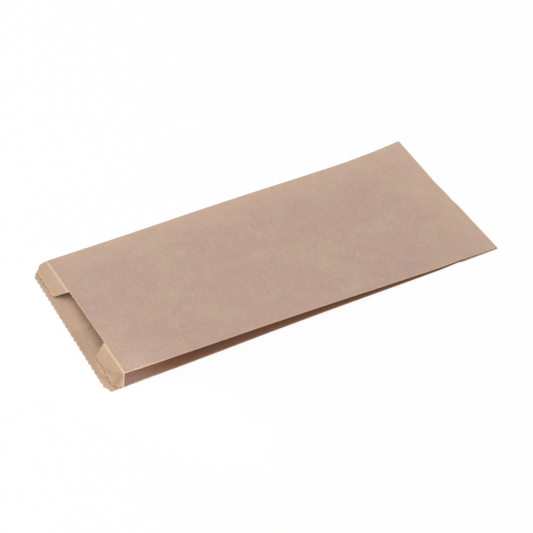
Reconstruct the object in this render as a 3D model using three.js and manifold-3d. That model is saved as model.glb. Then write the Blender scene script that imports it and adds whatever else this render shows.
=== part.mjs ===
// Flat paper lunch bag: one sheet of brown kraft paper, folded round into a tube with a gusset tucked
// into each side and lapped along its back. The mouth is cut with a toothed knife, and the bottom is
// turned under and glued. The bag lies on its back panel, with its mouth at the low end of X.
import * as THREE from "three";
import { mergeVertices } from "three/addons/utils/BufferGeometryUtils.js";
import Module from "manifold-3d";

const wasm = await Module();
wasm.setup();

// The sheet and the folded tube, in millimetres
const bagLength = 340; // end of the lip to the fold at the bottom
const bagWidth = 150; // side fold to side fold
const gussetDepth = 35; // how far each side is tucked in
const paperThickness = 0.12;
const plyClearance = 0.1; // air between plies that lie on each other
const lapWidth = 12; // the glued overlap along the back
const lapEdgeFall = 3; // width over which the paper beside the lap comes down to the table
const flapLength = 36; // the bottom turned under
const gluedLength = 2; // the plies are glued to each other over this much before the bottom fold
const flapApproach = 20; // length over which the back panel climbs on to the flap

// The mouth
const lipLength = 14.7; // the back panel runs this far past the front panel
const tabLength = 13; // the front's two corners run this far past their crease
const tabMargin = 2.5; // each tab is wider than its gusset by this much
const notchSetback = 0.4; // the notch is cut this far behind the crease of the tabs
const lipToothPitch = 5.5;
const lipToothDepth = 1.1;
const notchToothPitch = 2.8;
const notchToothDepth = 0.6;
const knifeTrim = 0.5; // paper that the toothed cut takes off the raw end
const nearCornerCut = { along: 3.4, across: 7.6 };
const farCornerCut = { along: 7.8, across: 9 };

// How the bag has sprung open as it lies: heights are to the upper side of the paper
const mouthHeightNear = 14.4; // front panel at the mouth, at the low side of Y
const mouthHeightFar = 3.8; // and at the high side of Y
const nearTaper = 1.05; // 1 is a straight fall from the mouth to the bottom, more is a sagging one
const farTaper = 1;
const innerFoldShare = 0.3; // height of a gusset's inner fold, as a share of its opening
const mouthFoldShare = 0.14; // the same at the mouth, where the tabs press the gussets down
const mouthPress = 60; // how far into the bag that pressing reaches
const innerFoldDrop = 0.8; // share of that height lost at the very end of the mouth
const tabBow = 0.015; // rise of a gusset's upper ply between its folds, as a share of the opening
const tabEndHeights = { nearFold: 1.45, nearRoot: 3, farRoot: 1.5, farFold: 1.2 };
const cornerLift = 3; // the far corner of the bottom curls up
const cornerCurlLength = 36;
const cornerCurlWidth = 100;
const foldSkew = 2.8; // the bottom fold runs this much short at the far side
const foldSkewFrom = 52; // and comes back to that between these two distances across the bag
const foldSkewTo = 96;

// Values that follow from the sizes above
const plyPitch = paperThickness + plyClearance;
const stackHeight = 3 * plyPitch + paperThickness; // four plies pressed flat
const tubeEnd = bagLength - stackHeight; // the bottom fold is a half round of the stack
const backHeight = paperThickness / 2; // every height below is to the middle of the paper
const lowestFront = backHeight + 3 * plyPitch;
const lowestInner = backHeight + 1.5 * plyPitch;
const foldInset = (paperThickness + plyPitch) / 2; // from the outside of a fold to its flat plies
const tabWidth = gussetDepth + tabMargin;
const lapStart = (bagWidth - lapWidth) / 2;
const lapEnd = (bagWidth + lapWidth) / 2;
const leastDetail = 0.002; // facets smaller than this are merged after the cuts
const cutMargin = 5; // how far a cutting shape stands out past the paper

const clamp01 = (x) => Math.min(1, Math.max(0, x));
const eased = (x) => x * x * (3 - 2 * x); // from 0 to 1 with no kink at either end
const mix = THREE.MathUtils.lerp;
const mixPoints = (a, b, w) => a.map((value, k) => mix(value, b[k], w));
const steps = (count, from, to) =>
  Array.from({ length: count }, (_, i) => mix(from, to, i / count));

// The opening left at a place along the bag: 1 at the front panel's edge, 0 at the bottom.
const openness = (s) => clamp01((tubeEnd - s) / (tubeEnd - lipLength));

// Height of the front panel, which spans straight from one side fold to the other.
function frontHeight(s, y) {
  const near = mouthHeightNear - paperThickness / 2 - lowestFront;
  const far = mouthHeightFar - paperThickness / 2 - lowestFront;
  const nearRise = near * openness(s) ** nearTaper;
  const farRise = far * openness(s) ** farTaper;
  return lowestFront + mix(nearRise, farRise, y / bagWidth);
}

// Height at which the end of a tab comes to rest over the lip.
function tabEndHeight(y) {
  const { nearFold, nearRoot, farRoot, farFold } = tabEndHeights;
  if (y < tabWidth) return mix(nearFold, nearRoot, y / tabWidth);
  const farSide = bagWidth - tabWidth;
  if (y > farSide) return mix(farRoot, farFold, (y - farSide) / tabWidth);
  return mix(nearRoot, farRoot, (y - tabWidth) / (farSide - tabWidth));
}

// Angle by which paper bends down at the crease, to come from one height to another at the tab's end.
const dropAngle = (from, to) => Math.asin(clamp01((from - to) / tabLength));
const tabAngle = (y) => dropAngle(frontHeight(lipLength, y), tabEndHeight(y));

// A point at s along paper that is creased where the lip begins and turned down from there.
function creased(s, y, height, angle, depth) {
  if (s > lipLength) return [s, y, height(s)];
  const run = ((lipLength - s) * tabLength) / lipLength;
  const crease = lipLength + depth * Math.tan(angle / 2);
  return [crease - run * Math.cos(angle), y, height(lipLength) - run * Math.sin(angle)];
}

// The plies. inward is the distance from the outside of the side fold, far tells the two sides apart.
const acrossFrom = (far, inward) => (far ? bagWidth - inward : inward);
const frontPoint = (s, y) => creased(s, y, (at) => frontHeight(at, y), tabAngle(y), 0);

function innerFoldPoint(s, far) {
  const fold = acrossFrom(far, 0);
  const height = (at) => {
    const share = mix(mouthFoldShare, innerFoldShare, eased(clamp01((at - lipLength) / mouthPress)));
    return lowestInner + share * (frontHeight(at, fold) - lowestFront);
  };
  const top = height(lipLength);
  const angle = dropAngle(top, mix(top, lowestInner, innerFoldDrop));
  return creased(s, acrossFrom(far, gussetDepth - foldInset), height, angle, 0);
}

function upperPoint(s, far, share) {
  const fold = acrossFrom(far, 0);
  const under = (at) => frontHeight(at, fold) - plyPitch;
  const outer = creased(s, acrossFrom(far, foldInset), under, tabAngle(fold), plyPitch);
  const inner = innerFoldPoint(s, far);
  inner[2] += plyPitch / 2;
  const point = mixPoints(outer, inner, share);
  const turned = clamp01((lipLength - s) / lipLength);
  point[2] += tabBow * frontHeight(lipLength, fold) * turned * 4 * share * (1 - share);
  return point;
}

function lowerPoint(s, far, share) {
  const outer = [s, acrossFrom(far, foldInset), backHeight + plyPitch];
  const inner = innerFoldPoint(s, far);
  inner[2] -= plyPitch / 2;
  return mixPoints(outer, inner, share);
}

// Round fold between the ends of two plies, bulging to the high side of Y at 1 and the low side at -1.
function foldRound(from, to, bulge) {
  const middle = mixPoints(from, to, 0.5);
  return steps(foldFacets, 0, Math.PI)
    .slice(1)
    .map((turn) => {
      const point = middle.map((value, k) => value + (from[k] - value) * Math.cos(turn));
      point[1] += (bulge * plyPitch * Math.sin(turn)) / 2;
      return point;
    });
}

// Facets round each fold, over each gusset ply and over each panel
const foldFacets = 4;
const plyFacets = 7;
const panelFacets = 8;
const lapRamp = 0.3; // width of the small step at an edge of the lap

const through = (count, from, to) => [...steps(count, from, to), to];

// The places across the back panel where its section has a point.
function backPlaces() {
  const lapPlaces = [lapStart - lapRamp, lapStart, lapEnd - lapRamp, lapEnd];
  return [
    ...steps(4, foldInset, lapStart - lapRamp),
    ...lapPlaces,
    ...through(8, lapEnd + lapEdgeFall, bagWidth - foldInset),
  ];
}

// The same across the front panel, in line with the points of the gussets beneath it.
function frontPlaces() {
  const inner = gussetDepth - foldInset;
  return [
    ...steps(plyFacets, foldInset, inner),
    ...steps(panelFacets, inner, bagWidth - inner),
    ...through(plyFacets, bagWidth - inner, bagWidth - foldInset),
  ];
}

// Middle line of the paper round the tube at s: back panel, far gusset, front panel, near gusset.
function middleLine(s) {
  const ply = (point, far, from, to) =>
    through(plyFacets, from, to).map((share) => point(s, far, share));
  const flats = [
    backPlaces().map((y) => [s, y, backHeight]),
    ply(lowerPoint, true, 0, 1),
    ply(upperPoint, true, 1, 0),
    frontPlaces().reverse().map((y) => frontPoint(s, y)),
    ply(upperPoint, false, 0, 1),
    ply(lowerPoint, false, 1, 0),
  ];
  const bulges = [1, -1, 1, -1, 1, -1];
  return flats.flatMap((flat, i) => {
    const next = flats[(i + 1) % flats.length];
    return [...flat, ...foldRound(flat.at(-1), next[0], bulges[i])];
  });
}

// The lap: the sheet's two edges are glued one over the other along the middle of the back.
const lapHigh = (y) => y > lapEnd - lapRamp / 2 && y < lapEnd + lapEdgeFall;
const lapDouble = (y) => y > lapStart - lapRamp / 2 && y < lapEnd + lapEdgeFall;

// How far the paper is lifted by the flap beneath it.
function flapLift(x) {
  const flapEdge = bagLength - flapLength;
  return stackHeight * eased(clamp01((x - flapEdge + flapApproach) / flapApproach));
}

// The bottom as it really lies: its far corner curled up, and its fold a little askew.
function settled([x, y, z]) {
  const alongCurl = clamp01((x - bagLength + cornerCurlLength) / cornerCurlLength);
  const acrossCurl = clamp01((y - bagWidth + cornerCurlWidth) / cornerCurlWidth);
  const askew = eased(clamp01((y - foldSkewFrom) / (foldSkewTo - foldSkewFrom)));
  return [x - foldSkew * alongCurl * askew, y, z + cornerLift * alongCurl ** 1.3 * acrossCurl ** 1.5];
}

// A solid from a list of points and a list of triangles.
function solidFrom(points, triangles) {
  return new wasm.Manifold(
    new wasm.Mesh({
      numProp: 3,
      vertProperties: new Float32Array(points.flat()),
      triVerts: new Uint32Array(triangles.flat()),
    }),
  );
}

// A solid from a three.js geometry, with each point moved by a function first.
function solidOf(geometry, moved = (point) => point) {
  const bare = geometry.clone();
  bare.deleteAttribute("normal");
  bare.deleteAttribute("uv");
  const merged = mergeVertices(bare, 1e-4);
  const place = merged.getAttribute("position");
  const points = Array.from({ length: place.count }, (_, i) =>
    moved([place.getX(i), place.getY(i), place.getZ(i)]),
  );
  return solidFrom(points, [Array.from(merged.index.array)]);
}

// The places along the bag where its section is drawn: close together at the mouth and the bottom.
function stations() {
  const flapEdge = bagLength - flapLength;
  return [
    -knifeTrim,
    ...steps(6, 0, lipLength),
    lipLength,
    ...steps(10, lipLength + 1, flapEdge - flapApproach),
    ...steps(4, flapEdge - flapApproach, flapEdge),
    ...through(6, flapEdge, tubeEnd - gluedLength / 4),
  ];
}

// The tube: the middle line lofted along the bag, and given the paper's thickness on both sides.
function paperTube() {
  const along = stations();
  const grid = along.map(middleLine);
  const rows = grid.length;
  const around = grid[0].length;
  const backCount = backPlaces().length;
  const at = (j, i) => new THREE.Vector3(...grid[j][(i + around) % around]);
  const direction = (from, to) => to.clone().sub(from).normalize();
  const outer = [];
  const inner = [];
  for (let j = 0; j < rows; j++) {
    for (let i = 0; i < around; i++) {
      const point = at(j, i);
      const round = direction(at(j, i - 1), point).add(direction(point, at(j, i + 1)));
      const behind = at(Math.max(j - 1, 0), i);
      const ahead = at(Math.min(j + 1, rows - 1), i);
      const forward = direction(behind, point).add(direction(point, ahead));
      const out = round.cross(forward).setLength(paperThickness / 2);
      const outside = point.clone().add(out);
      const inside = point.clone().sub(out);
      if (i < backCount && lapHigh(point.y)) outside.z += paperThickness;
      if (i < backCount && lapDouble(point.y)) inside.z += paperThickness;
      for (const side of [outside, inside]) side.z += flapLift(side.x);
      outer.push(settled(outside.toArray()));
      inner.push(settled(inside.toArray()));
    }
  }
  const outerAt = (j, i) => j * around + (i % around);
  const innerAt = (j, i) => outerAt(j, i) + outer.length;
  const triangles = [];
  const quad = (a, b, c, d) => triangles.push([a, b, c], [a, c, d]);
  const last = rows - 1;
  for (let i = 0; i < around; i++) {
    for (let j = 0; j < last; j++) {
      quad(outerAt(j, i), outerAt(j, i + 1), outerAt(j + 1, i + 1), outerAt(j + 1, i));
      quad(innerAt(j, i), innerAt(j + 1, i), innerAt(j + 1, i + 1), innerAt(j, i + 1));
    }
    quad(outerAt(0, i), innerAt(0, i), innerAt(0, i + 1), outerAt(0, i + 1));
    quad(outerAt(last, i), outerAt(last, i + 1), innerAt(last, i + 1), innerAt(last, i));
  }
  return solidFrom([...outer, ...inner], triangles);
}

// The bottom: the four plies glued together, turned half round and back under the bag as a flap.
function turnedBottom() {
  const sideInset = paperThickness / 2;
  const glueDepth = 0.75 * paperThickness; // the flap's glued face lies this deep in the back panel
  const topInset = paperThickness / 2; // and its rounded face this deep in the plies that it ends
  const top = 2 * stackHeight - topInset;
  const flapEdge = bagLength - flapLength;
  const outline = new THREE.Shape();
  outline.moveTo(flapEdge, 0);
  for (const x of through(6, flapEdge, tubeEnd).slice(1)) outline.lineTo(x, 0);
  outline.absellipse(
    tubeEnd,
    top / 2,
    stackHeight,
    top / 2,
    -Math.PI / 2,
    Math.PI / 2,
  );
  outline.lineTo(tubeEnd - gluedLength, top);
  outline.lineTo(tubeEnd - gluedLength, stackHeight + glueDepth);
  for (const x of through(6, tubeEnd - gluedLength, flapEdge).slice(1)) {
    outline.lineTo(x, stackHeight + glueDepth);
  }
  outline.closePath();
  const depth = bagWidth - 2 * sideInset;
  const extruded = new THREE.ExtrudeGeometry(outline, {
    depth,
    steps: 18,
    curveSegments: 6,
    bevelEnabled: false,
  });
  extruded.rotateX(Math.PI / 2).translate(0, bagWidth - sideInset, 0);
  return solidOf(extruded, settled);
}

// An upright cutting shape over an outline in X and Y, from one height to another.
function cutter(outline, from, to) {
  const shape = new THREE.Shape(outline.map(([x, y]) => new THREE.Vector2(x, y)));
  const depth = to - from;
  const extruded = new THREE.ExtrudeGeometry(shape, { depth, steps: 1, bevelEnabled: false });
  return solidOf(extruded.translate(0, 0, from));
}

// The edge of the toothed knife along Y: points at x, with hollows of a depth between them.
function knifeEdge(x, fromY, toY, pitch, depth) {
  const teeth = Math.max(1, Math.round((toY - fromY) / pitch));
  return through(2 * teeth, fromY, toY).map((y, i) => [i % 2 ? x + depth : x, y]);
}

// What the knife takes off the mouth: the ragged edge, the notch in the front and two corners.
function mouthCuts() {
  const over = mouthHeightNear + cutMargin;
  const edge = knifeEdge(0, -cutMargin, bagWidth + cutMargin, lipToothPitch, lipToothDepth);
  const outside = [
    [-cutMargin, bagWidth + cutMargin],
    [-cutMargin, -cutMargin],
  ];
  const notchEdge = knifeEdge(
    lipLength + notchSetback,
    tabWidth,
    bagWidth - tabWidth,
    notchToothPitch,
    notchToothDepth,
  );
  const notchOutside = [
    [-cutMargin, bagWidth - tabWidth],
    [-cutMargin, tabWidth],
  ];
  const nearCorner = [
    [-cutMargin, -cutMargin],
    [nearCornerCut.along, -cutMargin],
    [nearCornerCut.along, 0],
    [0, nearCornerCut.across],
    [-cutMargin, nearCornerCut.across],
  ];
  const farCorner = [
    [-cutMargin, bagWidth + cutMargin],
    [-cutMargin, bagWidth - farCornerCut.across],
    [0, bagWidth - farCornerCut.across],
    [farCornerCut.along, bagWidth],
    [farCornerCut.along, bagWidth + cutMargin],
  ];
  return [
    cutter([...edge, ...outside], -cutMargin, over),
    cutter([...notchEdge, ...notchOutside], stackHeight, over),
    cutter(nearCorner, -cutMargin, over),
    cutter(farCorner, -cutMargin, over),
  ];
}

// The hollows of the knife's teeth along the end of each tab, cut square to the paper.
function tabToothCuts() {
  const teeth = Math.max(1, Math.round(tabWidth / lipToothPitch));
  const half = tabWidth / teeth / 2;
  const hollow = 0.9 * half;
  const notch = new THREE.Shape([
    new THREE.Vector2(-hollow, knifeTrim),
    new THREE.Vector2(0, -lipToothDepth),
    new THREE.Vector2(hollow, knifeTrim),
  ]);
  const depth = plyPitch; // reaches half way to the ply beneath
  const prism = new THREE.ExtrudeGeometry(notch, { depth, steps: 1, bevelEnabled: false });
  prism.translate(0, 0, -depth / 2);
  return [false, true].flatMap((far) =>
    Array.from({ length: teeth }, (_, k) => {
      const y = acrossFrom(far, (2 * k + 1) * half);
      const place = (s, at) => new THREE.Vector3(...frontPoint(s, at));
      const end = place(0, y);
      const outwards = end.clone().sub(place(lipLength, y)).normalize();
      const across = place(0, y + hollow).sub(place(0, y - hollow)).divideScalar(2 * hollow);
      const square = across.clone().cross(outwards).normalize();
      const frame = new THREE.Matrix4().makeBasis(across, outwards, square);
      return solidOf(prism.clone().applyMatrix4(frame.setPosition(end)));
    }),
  );
}

// The whole bag as a mesh, standing on the origin at the middle of its length and width.
function paperBag() {
  const whole = paperTube().add(turnedBottom());
  const cut = [...mouthCuts(), ...tabToothCuts()].reduce((bag, tool) => bag.subtract(tool), whole);
  const { vertProperties, triVerts } = cut.simplify(leastDetail).getMesh();
  const geometry = new THREE.BufferGeometry();
  geometry.setAttribute("position", new THREE.BufferAttribute(vertProperties, 3));
  geometry.setIndex(new THREE.BufferAttribute(triVerts, 1));
  geometry.computeVertexNormals();
  const kraft = new THREE.MeshStandardMaterial({
    color: 0xbea393,
    roughness: 0.9,
    metalness: 0,
    side: THREE.DoubleSide,
  });
  const bag = new THREE.Mesh(geometry, kraft);
  bag.name = "paper_bag";
  bag.position.set(-bagLength / 2, -bagWidth / 2, 0);
  return bag;
}

const lunchBag = new THREE.Group();
lunchBag.add(paperBag());
export default lunchBag;
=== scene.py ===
import math

import bmesh
import bpy
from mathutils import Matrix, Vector, noise


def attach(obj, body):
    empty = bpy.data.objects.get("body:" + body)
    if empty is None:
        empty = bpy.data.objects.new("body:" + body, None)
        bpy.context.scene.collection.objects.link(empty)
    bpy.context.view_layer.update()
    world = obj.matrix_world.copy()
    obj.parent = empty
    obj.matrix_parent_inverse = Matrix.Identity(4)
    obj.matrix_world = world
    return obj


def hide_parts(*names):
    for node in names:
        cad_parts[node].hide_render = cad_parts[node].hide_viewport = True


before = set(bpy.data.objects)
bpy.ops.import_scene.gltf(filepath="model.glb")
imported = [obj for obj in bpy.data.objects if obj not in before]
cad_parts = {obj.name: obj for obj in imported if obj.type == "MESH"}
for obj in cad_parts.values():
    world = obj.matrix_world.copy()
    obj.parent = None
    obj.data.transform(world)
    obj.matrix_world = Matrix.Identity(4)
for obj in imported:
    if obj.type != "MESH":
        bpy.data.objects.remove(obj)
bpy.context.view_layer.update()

# The viewpoint: above the bag's near side, turned towards its mouth, far off with a long lens.
# The lens is worked out for a square picture of 533 by 533 pixels.
view_target = Vector((-0.00339, -0.007784, 0.0))
view_azimuth = math.radians(-27.7653)
view_elevation = math.radians(42.5686)
view_distance = 1.37458
towards_viewer = Vector(
    (
        math.sin(view_azimuth) * math.cos(view_elevation),
        -math.cos(view_azimuth) * math.cos(view_elevation),
        math.sin(view_elevation),
    )
)
camera = bpy.data.objects.new("camera", bpy.data.cameras.new("camera"))
camera.data.sensor_width = 36
camera.data.lens = 118.13
camera.location = view_target + towards_viewer * view_distance
camera.rotation_euler = (-towards_viewer).to_track_quat("-Z", "Y").to_euler()
bpy.context.scene.collection.objects.link(camera)
bpy.context.scene.camera = camera

# The folded sheet, in millimetres from the near corner of the lip: X runs down the bag, Y across.
# It is cut 452 by 376 mm: two panels of 150, four gusset plies of 35 and a lap of 12 make its
# width, and the bag's 340 and a turn-under of 36 its length.
bag_length = 340
bag_width = 150
gusset_depth = 35
lap_width = 12
flap_length = 36
paper = 0.12
ply_pitch = 0.22
sprung_pitch = 0.3
lip_length = 14.7
tab_length = 13.8
tab_width = 37.5
crease_softness = 0.45
stack_height = 3 * ply_pitch + paper
tube_end = bag_length - stack_height
back_height = paper / 2
lap_start = (bag_width - lap_width) / 2
lap_end = (bag_width + lap_width) / 2
sheet_length = bag_length + flap_length


def clamp01(x):
    return min(1.0, max(0.0, x))


def eased(x):
    x = clamp01(x)
    return x * x * (3 - 2 * x)


def mix(a, b, w):
    return a + (b - a) * w


def openness(s):
    """1 at the front panel's edge, falling to 0 at the bottom fold."""
    return clamp01((tube_end - s) / (tube_end - lip_length))


# The front panel spans straight from one side fold to the other. Its near side has sprung 14 mm
# open at the mouth and sags a little on the way down; the far side has hardly opened.
near_rise = 13.6
near_sag = 1.05
far_rise = 2.96
far_wave = 0.45
panel_swell = 0.35
lowest_front = back_height + 3 * ply_pitch


def front_height(s, y):
    near = near_rise * openness(s) ** near_sag
    wave = far_wave * math.sin((s - 105) / 38) * clamp01(s / 90)
    far = far_rise * openness(s) + wave * eased(openness(s) * 4)
    across = y / bag_width
    swell = panel_swell * math.sin(math.pi * across) * math.sin(s / 47 + across * 2.2)
    return lowest_front + mix(near, far, across) + swell * openness(s)


# The tabs are the front panel's two corners, creased where the lip begins and pressed down on
# it. The near one has a second, curved crease, from the end of the first to its own cut end, and
# the paper past that crease flares out over the lip.
slant_foot = 28
slant_angles = (math.radians(62), math.radians(57.5))
slant_softness = 0.548
near_rest = 0.55
flare_reach = 6.1
flare_turn = 1.9
flare_slant = 1.2
fold_foot = 13.3
far_tab_share = 0.84
far_rest = (0.95, 0.8)


def crease_point(y):
    return Vector((lip_length, y, front_height(lip_length, y)))


def tab_run(y):
    return tab_length if y < bag_width / 2 else tab_length * far_tab_share


def tab_angle(y):
    if y < slant_foot:
        return mix(*slant_angles, y / slant_foot)
    towards_fold = clamp01((y - bag_width + tab_width) / tab_width)
    rest = near_rest if y < bag_width / 2 else mix(*far_rest, towards_fold)
    return math.asin(clamp01((front_height(lip_length, y) - rest) / tab_run(y)))


def fall(angle, run):
    return Vector((-math.cos(angle), 0, -math.sin(angle))) * run


def slant_run(y):
    """How far down the near tab its second crease is."""
    return tab_length * (1 - (1 - y / slant_foot) ** 2)


def flared_end(y):
    by_fold = (fold_foot - flare_reach) * math.exp(-y / flare_turn)
    by_slant = flare_slant * (y / slant_foot) ** 3
    return Vector((flare_reach + by_fold + by_slant, y, near_rest))


near_fold = flared_end(0) - crease_point(0)
near_fold_angle = math.atan2(-near_fold.z, -near_fold.x)


def tab_offset(y, run):
    """From the crease to a point on the tab, run millimetres down the paper from it."""
    angle = tab_angle(y)
    if y >= slant_foot:
        return fall(angle, run * tab_run(y) / tab_length)
    before = slant_run(y)
    past = (run - before + math.hypot(run - before, slant_softness)) / 2
    flare = flared_end(y) - crease_point(y) - fall(angle, before)
    return fall(angle, run - past) + flare * past / max(1, tab_length - before)


def soft_crease(s):
    """How far down the panel and down the tab a point is from the slightly round crease."""
    past = s - lip_length
    reach = math.hypot(past, crease_softness)
    return (reach + past) / 2, (reach - past) / 2 * tab_length / lip_length


def front_point(s, y):
    down_panel, down_tab = soft_crease(s)
    place = Vector((lip_length + down_panel, y, front_height(lip_length + down_panel, y)))
    return place + tab_offset(y, down_tab)


# The gussets are tucked in between the panels. Their inner folds stand a third of the way up, and
# lower at the mouth, where the tabs press them down.
spring_reach = 25
far_spring_share = 0.3
inner_fold_share = (0.14, 0.3)
inner_fold_reach = 60
pressed_lip = 5.5
push_softness = 0.141
push_from = 0.05


def gap(s, far):
    sprung = sprung_pitch * openness(s) * (far_spring_share if far else 1)
    return ply_pitch + sprung * eased((s - lip_length) / spring_reach)


def across_from(far, inward):
    return bag_width - inward if far else inward


def outer_inset(s, far):
    return (gap(s, far) + paper) / 2


def pushed_behind_tab(point):
    """Keeps a ply of the near gusset behind the tab that is pressed down over it."""
    crease = crease_point(point.y)
    low, high = 0, tab_length
    for _ in range(14):
        run = (low + high) / 2
        if crease.z + tab_offset(point.y, run).z > point.z:
            low = run
        else:
            high = run
    out = crease.x + tab_offset(point.y, low).x + 1.2 * ply_pitch - point.x
    out = (out + math.hypot(out, push_softness)) / 2
    above_lip = eased((point.z - near_rest + ply_pitch) / ply_pitch)
    return point + Vector((out * above_lip, 0, 0))


def inner_fold(s, far):
    fold = across_from(far, 0)
    lowest = back_height + 1.5 * ply_pitch
    inward = across_from(far, gusset_depth - outer_inset(s, far))
    share = mix(*inner_fold_share, eased((s - lip_length) / inner_fold_reach))
    rise = share * (front_height(max(s, lip_length), fold) - lowest_front)
    pressed = eased((s - pressed_lip) / (lip_length - pressed_lip))
    return Vector((s, inward, lowest + rise * pressed))


def upper_point(s, far, share):
    fold = across_from(far, 0)
    down_panel, down_tab = soft_crease(s)
    turn = math.atan2(down_tab, down_panel) / (math.pi / 2)
    angle = (tab_angle(fold) if far else near_fold_angle) * eased(turn)
    outer = front_point(s, fold)
    outer = outer + Vector((math.sin(angle), 0, -math.cos(angle))) * gap(s, far)
    outer.y = across_from(far, outer_inset(s, far))
    inner = inner_fold(s, far) + Vector((0, 0, gap(s, far) / 2))
    point = outer.lerp(inner, share)
    if s < lip_length and not far and share > push_from:
        weight = eased((share - push_from) * 6) * eased((lip_length - s) / 3)
        point = point.lerp(pushed_behind_tab(point), weight)
    return point


def lower_point(s, far, share):
    outer = Vector((s, across_from(far, outer_inset(s, far)), back_height + gap(s, far)))
    inner = inner_fold(s, far) - Vector((0, 0, gap(s, far) / 2))
    return outer.lerp(inner, share)


lap_step = 0.6 * paper
lap_slope = 3


def back_point(s, y, on_top):
    lifted = lap_step * eased((lap_end + lap_slope - y) / lap_slope) if on_top else 0
    return Vector((s, y, back_height + lifted))


def near_side(s):
    return outer_inset(s, False)


def far_side(s):
    return bag_width - outer_inset(s, True)


# The sheet's columns, from the edge under the lap round to the edge on top of it: the plies in
# order, each with its width, and a small half round of paper at each of the six folds between.
column_width = 1.4
fold_columns = 4
inner_end = gusset_depth
plies = [
    (lap_end, lambda s, w: back_point(s, mix(lap_end, near_side(s), w), False)),
    (inner_end, lambda s, w: lower_point(s, False, w)),
    (inner_end, lambda s, w: upper_point(s, False, 1 - w)),
    (bag_width, lambda s, w: front_point(s, mix(near_side(s), far_side(s), w))),
    (inner_end, lambda s, w: upper_point(s, True, w)),
    (inner_end, lambda s, w: lower_point(s, True, 1 - w)),
    (bag_width - lap_start, lambda s, w: back_point(s, mix(far_side(s), lap_start, w), True)),
]
bulges = [-1, 1, -1, 1, -1, 1]
columns = []
sheet_place = 0
for ply, (width, _) in enumerate(plies):
    count = round(width / column_width)
    for i in range(count + 1):
        columns.append((ply, i / count, None, sheet_place + width * i / count))
    sheet_place += width
    if ply < len(bulges):
        for i in range(1, fold_columns):
            columns.append((ply, 1.0, math.pi * i / fold_columns, sheet_place))

# The sheet's rows, from the toothed edge of the mouth to that of the turn-under: close together
# at the crease and round the bottom fold.
notch_row = lip_length + 0.4


def spread(start, end, step):
    count = max(1, round((end - start) / step))
    return [mix(start, end, i / count) for i in range(count)]


flap_edge = bag_length - flap_length
rows = (
    spread(0, 13.2, 1.1)
    + [13.2, 13.9, 14.3, 14.5, 14.7, 14.9, notch_row, 16.2, 17.6]
    + spread(20, flap_edge - 22, 4.6)
    + spread(flap_edge - 22, tube_end, 2.6)
    + [tube_end + 0.28 * i for i in range(9)]
    + spread(tube_end + 3.2, sheet_length, 3)
    + [sheet_length]
)

# The toothed knife: its teeth along the mouth and the turn-under, finer ones along the notch, and
# the slanting cuts that took off two corners of the mouth.
lip_tooth = (5.5, 0.9)
notch_tooth = (4.2, 0.9)
raggedness = 0.35
front_start = lap_end + 2 * gusset_depth
front_end = front_start + bag_width
far_back_fold = front_end + 2 * gusset_depth
corner_cuts = [(lap_end, 3.4, 7.6), (front_end, 6.75, 6.8), (far_back_fold, 7.8, 9)]
lip_rows_end = lip_length - 1.5


def tooth(place, pitch, depth):
    swing = abs((place / pitch) % 1 * 2 - 1)
    ragged = raggedness * noise.noise(Vector((place * 0.7, pitch, 0)))
    return depth * clamp01(swing + ragged)


def paper_start(u):
    cuts = [depth * (1 - abs(u - fold) / across) for fold, depth, across in corner_cuts]
    return max(0, *cuts) + tooth(u, *lip_tooth)


def along_paper(u, v, tuck):
    """Takes a row of the sheet to its place along the paper, past what the knife took off."""
    if v < lip_rows_end:
        start = max(paper_start(u), tuck)
        return mix(start, lip_rows_end, v / lip_rows_end)
    if v == sheet_length:
        return v - tooth(u, *lip_tooth)
    return v


def folded(column, v):
    """The folded place of a point of the sheet, before the bag settles on its table."""
    ply, share, turn, u = column
    s = min(v, tube_end)
    place = plies[ply][1](s, share)
    if turn is not None:
        after = plies[ply + 1][1](s, 0.0)
        middle = (place + after) / 2
        radius = (place - after).length / 2
        place = middle + (place - middle) * math.cos(turn)
        place.y += bulges[ply] * radius * math.sin(turn)
    if v > tube_end:
        height = place.z
        arc = math.pi * height
        round_bottom = min(1.0, (v - tube_end) / arc) * math.pi
        back = max(0.0, v - tube_end - arc)
        place.x = tube_end + height * math.sin(round_bottom) - back
        place.z = height * math.cos(round_bottom)
    return place


# How the folded bag lies: lifted where the turn-under is beneath it, its near edge a little off
# the table half way down, and the far corner of its bottom curled up. Its bottom fold is a little
# short and askew, and has buckled in two places.
flap_approach = 20
corner_lift = 3
corner_curl = (36, 100)
fold_skew = 1.5
skew_start = 52
skew_width = 44
fold_short = 1.3
buckles = ((66, 4.2, 0.9), (91, 4.6, 0.45))
buckle_fan = 0.12
buckle_rise = 0.5
arch_height = 0.9
arch_start = 40
arch_length = 250
arch_width = 45


def settled(place, v):
    x, y, z = place
    if v > tube_end:
        z += stack_height
    else:
        z += stack_height * eased((x - flap_edge + flap_approach) / flap_approach)
    along = clamp01((x - bag_length + corner_curl[0]) / corner_curl[0])
    across = clamp01((y - bag_width + corner_curl[1]) / corner_curl[1])
    askew = eased((y - skew_start) / skew_width)
    z += corner_lift * along ** 1.3 * across ** 1.5
    x -= (fold_short + fold_skew * askew) * along
    for middle, half_width, depth in buckles:
        fanned = (y - middle - buckle_fan * (bag_length - x)) / half_width
        buckle = depth * math.exp(-(fanned ** 2)) * along
        x -= buckle * along ** 4
        z += buckle_rise * buckle * along
    arch = math.sin(math.pi * clamp01((x - arch_start) / arch_length)) ** 2
    z += arch_height * arch * eased(1 - y / arch_width)
    return Vector((x, y, z))


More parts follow.
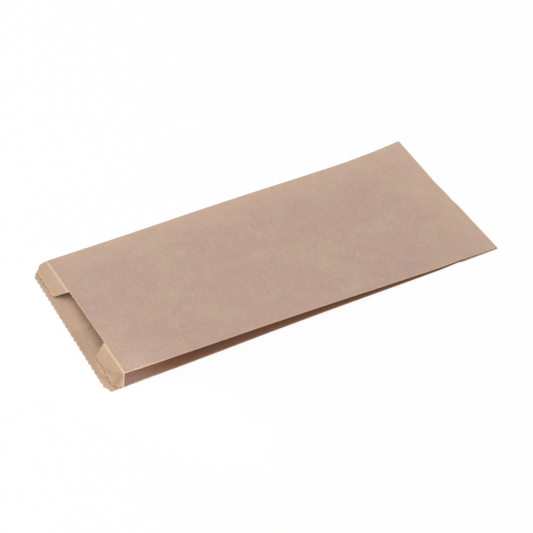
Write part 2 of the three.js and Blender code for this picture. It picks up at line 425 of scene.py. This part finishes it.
# The sheet itself, a flat grid of those columns and rows. Each point keeps its place on the flat
# sheet, its painted highlight, how yellow the paper is there, and its painted shade.
sheet = bmesh.new()
flat_map = sheet.loops.layers.uv.new("sheet")
highlight_layer = sheet.verts.layers.float.new("painted_highlight")
tone_layer = sheet.verts.layers.float.new("warmth")
slant_shade_layer = sheet.verts.layers.float.new("pressed")
gusset_shade_layer = sheet.verts.layers.float.new("painted_gusset_shade")
across_count = len(columns) - 1
down_count = len(rows) - 1
grid = bmesh.ops.create_grid(sheet, x_segments=across_count, y_segments=down_count, size=1)
flat_place = {}
for vert in grid["verts"]:
    column = columns[round((vert.co.x + 1) / 2 * across_count)]
    row = rows[round((vert.co.y + 1) / 2 * down_count)]
    flat_place[vert] = (column, row)

# The notch is cut out of the front panel between the two tabs. Its far side leans, and the cut
# ends of the gussets' plies stand back under the tabs.
notch_lean = 7
lean_width = 20
lean_reach = 25
near_tuck = 7.6
far_tuck = 4.6


def leaned(column, row):
    """The notch's far side leans towards its root, and the columns of the sheet lean with it."""
    ply, share, turn, u = column
    if ply != 3 or turn is not None:
        return column
    from_side = abs(u - front_end + tab_width)
    beside = eased(1 - from_side / lean_width)
    down = row / notch_row if row < notch_row else 1 - (row - notch_row) / lean_reach
    lean = notch_lean * beside * clamp01(down)
    return ply, share - lean / bag_width, turn, u - lean


def tucked(column):
    """How far the knife's cut of a gusset ply stands back, to lie hidden under its tab."""
    ply, share, turn, _ = column
    if ply not in (1, 2, 4, 5):
        return 0
    inward = share if ply in (1, 4) else 1 - share
    return (near_tuck if ply < 3 else far_tuck) * eased(inward * 4)


def in_notch(vert, margin):
    (ply, _, turn, u), row = flat_place[vert]
    from_side = min(u - front_start, front_end - u)
    on_panel = ply == 3 and turn is None
    return on_panel and from_side > tab_width - margin and row < notch_row + margin


removed = [face for face in sheet.faces if all(in_notch(vert, 0.01) for vert in face.verts)]
bmesh.ops.delete(sheet, geom=removed, context="FACES")

fold_places = [lap_end, lap_end + gusset_depth, front_start]
fold_places += [front_end, front_end + gusset_depth, far_back_fold]
fold_highlight = (0.9, 0.5)
bottom_highlight = (2, 1)
lip_highlight = (2, 0.7)
crease_highlight = (1.7, 1)
notch_highlight = (2.2, 0.75)
panel_paling = (0.2, 0.44)
pale_by_far_fold = 32
pale_by_bottom = 45
warm_reach = 22
far_tab_warmth = 0.75
slant_line = 0.8
gusset_shade_reach = 45


def highlight_line(distance, width, strength):
    """A pale line of painted highlight, fading out within its width."""
    return strength * max(0, 1 - abs(distance) / width)


for vert in sheet.verts:
    column, row = flat_place[vert]
    column = leaned(column, row)
    ply, _, _, u = column
    v = along_paper(u, row, tucked(column))
    if row == notch_row and in_notch(vert, 0.01):
        v += tooth(u, *notch_tooth)
    for loop in vert.link_loops:
        loop[flat_map].uv = (u / 1000, v / 1000)

    # Painted highlights: pale lines along the sheet's folds, the mouth's cut end, the bottom fold,
    # the tab crease and the notch edge.
    to_fold = min(abs(u - place) for place in fold_places)
    painted_highlight = max(highlight_line(to_fold, *fold_highlight), highlight_line(row, *lip_highlight))
    painted_highlight = max(painted_highlight, highlight_line(v - tube_end - 1, *bottom_highlight))
    if 2 <= ply <= 4:
        painted_highlight = max(painted_highlight, highlight_line(v - lip_length, *crease_highlight))
    if ply == 3:
        if row >= notch_row and in_notch(vert, notch_highlight[0]):
            painted_highlight = max(painted_highlight, highlight_line(row - notch_row, *notch_highlight))
        # Painted light: the front panel is painted paler towards its far fold, where the light
        # falls brighter, and is also paler towards the bottom fold.
        by_far_fold = clamp01(1 - (front_end - u) / pale_by_far_fold) * eased((row - 8) / 20)
        by_bottom = clamp01(1 - (tube_end - row) / pale_by_bottom)
        painted_highlight = max(painted_highlight, mix(*panel_paling, max(by_far_fold, by_bottom)))
    vert[highlight_layer] = painted_highlight

    across = u - front_start
    warmth = clamp01(1 - row / warm_reach)
    if across >= bag_width / 2:
        warmth *= far_tab_warmth
    # Painted shade on the near tab: a dark line along its slant crease and a darker corner by its
    # side fold.
    if ply == 3 and row < lip_length and across < slant_foot:
        beyond = (lip_length - row) * tab_length / lip_length - slant_run(across)
        vert[slant_shade_layer] = math.exp(-((beyond / slant_line) ** 2)) * eased(across / 5)
        warmth = mix(0.9, 1, eased(0.5 + beyond / 2))
        at_corner = eased(1.5 - across / 5) * eased(beyond / 2)
        vert[slant_shade_layer] = max(vert[slant_shade_layer], 0.75 * at_corner)
    vert[tone_layer] = warmth
    # Painted shade: the gusset plies turn a deeper brown further in from the mouth.
    if ply in (1, 2, 4, 5):
        vert[gusset_shade_layer] = eased((row - lip_length) / gusset_shade_reach)
    from_middle = Vector((bag_length / 2, bag_width / 2, 0))
    vert.co = (settled(folded(column, v), v) - from_middle) / 1000

for face in sheet.faces:
    face.smooth = True
bag_mesh = bpy.data.meshes.new("folded_paper")
sheet.normal_update()
sheet.to_mesh(bag_mesh)
sheet.free()
bag = bpy.data.objects.new("folded_paper", bag_mesh)
bpy.context.scene.collection.objects.link(bag)
thickness = bag.modifiers.new("paper_thickness", "SOLIDIFY")
thickness.thickness = paper / 1000
thickness.offset = 0
thickness.use_rim = True
thickness.material_offset = 1
thickness.material_offset_rim = 2


# Kraft paper: pinkish tan with beige clouds in it, short fibres lying down the sheet and a soft
# tooth to the surface; painted highlights along its folds and cut edges, painted shade in the
# gussets and along the near tab's slant crease.
def linear(red, green, blue):
    def channel(value):
        value /= 255
        return value / 12.92 if value <= 0.04045 else ((value + 0.055) / 1.055) ** 2.4

    return (channel(red), channel(green), channel(blue), 1)


def kraft(name, body, cloud, warm, highlight_colour):
    material = bpy.data.materials.new(name)
    material.use_nodes = True
    nodes = material.node_tree.nodes
    links = material.node_tree.links
    shader = nodes["Principled BSDF"]
    shader.inputs["Roughness"].default_value = 0.78
    shader.inputs["Specular IOR Level"].default_value = 0.28
    flat = nodes.new("ShaderNodeUVMap")
    flat.uv_map = "sheet"

    def noise_of(scale, detail, stretch=(1, 1, 1)):
        mapping = nodes.new("ShaderNodeMapping")
        mapping.inputs["Scale"].default_value = stretch
        texture = nodes.new("ShaderNodeTexNoise")
        texture.inputs["Scale"].default_value = scale
        texture.inputs["Detail"].default_value = detail
        links.new(flat.outputs["UV"], mapping.inputs["Vector"])
        links.new(mapping.outputs["Vector"], texture.inputs["Vector"])
        return texture.outputs["Fac"]

    def ranged(value, low, high, to_low=0.0, to_high=1.0):
        node = nodes.new("ShaderNodeMapRange")
        node.inputs["From Min"].default_value = low
        node.inputs["From Max"].default_value = high
        node.inputs["To Min"].default_value = to_low
        node.inputs["To Max"].default_value = to_high
        links.new(value, node.inputs["Value"])
        return node.outputs["Result"]

    def mixed(kind, factor, first, second):
        node = nodes.new("ShaderNodeMix")
        node.data_type = "RGBA"
        node.blend_type = kind
        for socket, value in (("Factor", factor), ("A", first), ("B", second)):
            target = [s for s in node.inputs if s.name == socket and s.enabled][0]
            if isinstance(value, (tuple, float)):
                target.default_value = value
            else:
                links.new(value, target)
        return [s for s in node.outputs if s.enabled][0]

    def toned(which, start, share, tone):
        node = nodes.new("ShaderNodeAttribute")
        node.attribute_name = which
        return mixed("MIX", ranged(node.outputs["Fac"], start, 1, 0, share), colour, tone)

    clouds = ranged(noise_of(26, 5), 0.44, 0.64)
    colour = mixed("MIX", clouds, body, cloud)
    colour = toned("warmth", 0, 0.8, warm)
    # Painted shade deep in the gussets.
    colour = toned("painted_gusset_shade", 0, 0.85, linear(181, 131, 103))
    fibres = ranged(noise_of(1100, 2, (1, 0.5, 1)), 0.3, 0.7, 0.95, 1.05)
    specks = ranged(noise_of(330, 4), 0.25, 0.75, 0.93, 1.07)
    blotches = ranged(noise_of(90, 3), 0.3, 0.7, 0.96, 1.04)
    for grain in (fibres, specks, blotches):
        shade = nodes.new("ShaderNodeCombineColor")
        for channel in ("Red", "Green", "Blue"):
            links.new(grain, shade.inputs[channel])
        colour = mixed("MULTIPLY", 1.0, colour, shade.outputs["Color"])
    # Painted shade along the near tab's slant crease and at its corner.
    colour = toned("pressed", 0, 0.8, linear(158, 122, 108))
    # Painted highlight along the folds, the crease and the cut edges.
    colour = toned("painted_highlight", 0.2, 0.8, highlight_colour)
    links.new(colour, shader.inputs["Base Color"])

    cockle, tooth_bump = nodes.new("ShaderNodeBump"), nodes.new("ShaderNodeBump")
    for bump, strength, distance, height in (
        (tooth_bump, 0.3, 0.0001, noise_of(800, 4)),
        (cockle, 0.2, 0.0008, noise_of(55, 2)),
    ):
        bump.inputs["Strength"].default_value = strength
        bump.inputs["Distance"].default_value = distance
        links.new(height, bump.inputs["Height"])
    links.new(cockle.outputs["Normal"], tooth_bump.inputs["Normal"])
    links.new(tooth_bump.outputs["Normal"], shader.inputs["Normal"])
    return material


outside_paper = kraft(
    "kraft_outside",
    body=linear(187, 158, 145),
    cloud=linear(190, 163, 145),
    warm=linear(183, 152, 119),
    highlight_colour=linear(226, 198, 162),
)
# The inside faces: painted light, their body lighter than the outside's so the paper under the
# front panel's edge is not so deep in shade; near the lip the darker warm tone takes over.
inside_paper = kraft(
    "kraft_inside",
    body=linear(204, 172, 148),
    cloud=linear(207, 175, 150),
    warm=linear(180, 150, 128),
    highlight_colour=linear(214, 186, 158),
)
cut_paper = kraft(
    "kraft_cut_edge",
    body=linear(205, 178, 152),
    cloud=linear(212, 186, 156),
    warm=linear(212, 186, 156),
    highlight_colour=linear(224, 200, 172),
)

# The sheet's own faces are the bag's inside, and the layer that its thickness adds the outside.
for material in (inside_paper, outside_paper, cut_paper):
    bag.data.materials.append(material)
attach(bag, "root")
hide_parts("paper_bag")

# The table: a plain white sheet. It keeps the bag's shadow, and shows the camera a white ground.
floor_mesh = bpy.data.meshes.new("floor")
table = bmesh.new()
bmesh.ops.create_grid(table, x_segments=1, y_segments=1, size=6)
table.to_mesh(floor_mesh)
table.free()
floor = bpy.data.objects.new("floor", floor_mesh)
bpy.context.scene.collection.objects.link(floor)
floor_paint = bpy.data.materials.new("white_floor")
floor_paint.use_nodes = True
floor_nodes = floor_paint.node_tree.nodes
floor_links = floor_paint.node_tree.links
floor_shader = floor_nodes["Principled BSDF"]
floor_shader.inputs["Base Color"].default_value = (0.9, 0.9, 0.9, 1)
floor_shader.inputs["Roughness"].default_value = 0.9
floor_shader.inputs["Specular IOR Level"].default_value = 0
lit_ground = floor_nodes.new("ShaderNodeEmission")
lit_ground.inputs["Strength"].default_value = 1
ground_light = floor_nodes.new("ShaderNodeLightPath")
ground_share = floor_nodes.new("ShaderNodeMath")
ground_share.operation = "MULTIPLY"
ground_share.inputs[1].default_value = 0.94
ground_mix = floor_nodes.new("ShaderNodeMixShader")
floor_links.new(ground_light.outputs["Is Camera Ray"], ground_share.inputs[0])
floor_links.new(ground_share.outputs["Value"], ground_mix.inputs["Fac"])
floor_links.new(floor_shader.outputs["BSDF"], ground_mix.inputs[1])
floor_links.new(lit_ground.outputs["Emission"], ground_mix.inputs[2])
floor_links.new(ground_mix.outputs["Shader"], floor_nodes["Material Output"].inputs["Surface"])
floor.data.materials.append(floor_paint)

# The light: a pale room all round, three broad soft lamps, high over the far side, beyond the mouth
# and low on the near side, and a small one that reaches into the gusset by the near corner.
scene = bpy.context.scene
world = bpy.data.worlds.new("studio")
world.use_nodes = True
world.node_tree.nodes["Background"].inputs["Color"].default_value = (1, 1, 1, 1)
world.node_tree.nodes["Background"].inputs["Strength"].default_value = 0.5
scene.world = world
corner = (-0.155, -0.07, 0.004)
for name, place, aim, power, size, spread in (
    ("overhead", (0.1, 0.5, 1.6), (0, 0, 0), 12.5, 1.4, 180),
    ("mouth_side", (-1.5, 0.1, 0.52), (0, 0, 0), 10.5, 0.9, 180),
    ("near_side", (-0.5, -1.5, 0.45), (0, 0, 0), 3.5, 0.8, 180),
    ("near_corner", (0.02, -0.4, 0.09), corner, 0.0065, 0.04, 10),
):
    lamp = bpy.data.objects.new(name, bpy.data.lights.new(name, "AREA"))
    lamp.data.energy = power
    lamp.data.size = size
    lamp.data.spread = math.radians(spread)
    lamp.location = place
    lamp.rotation_euler = (Vector(aim) - Vector(place)).to_track_quat("-Z", "Y").to_euler()
    scene.collection.objects.link(lamp)
scene.view_settings.view_transform = "Standard"
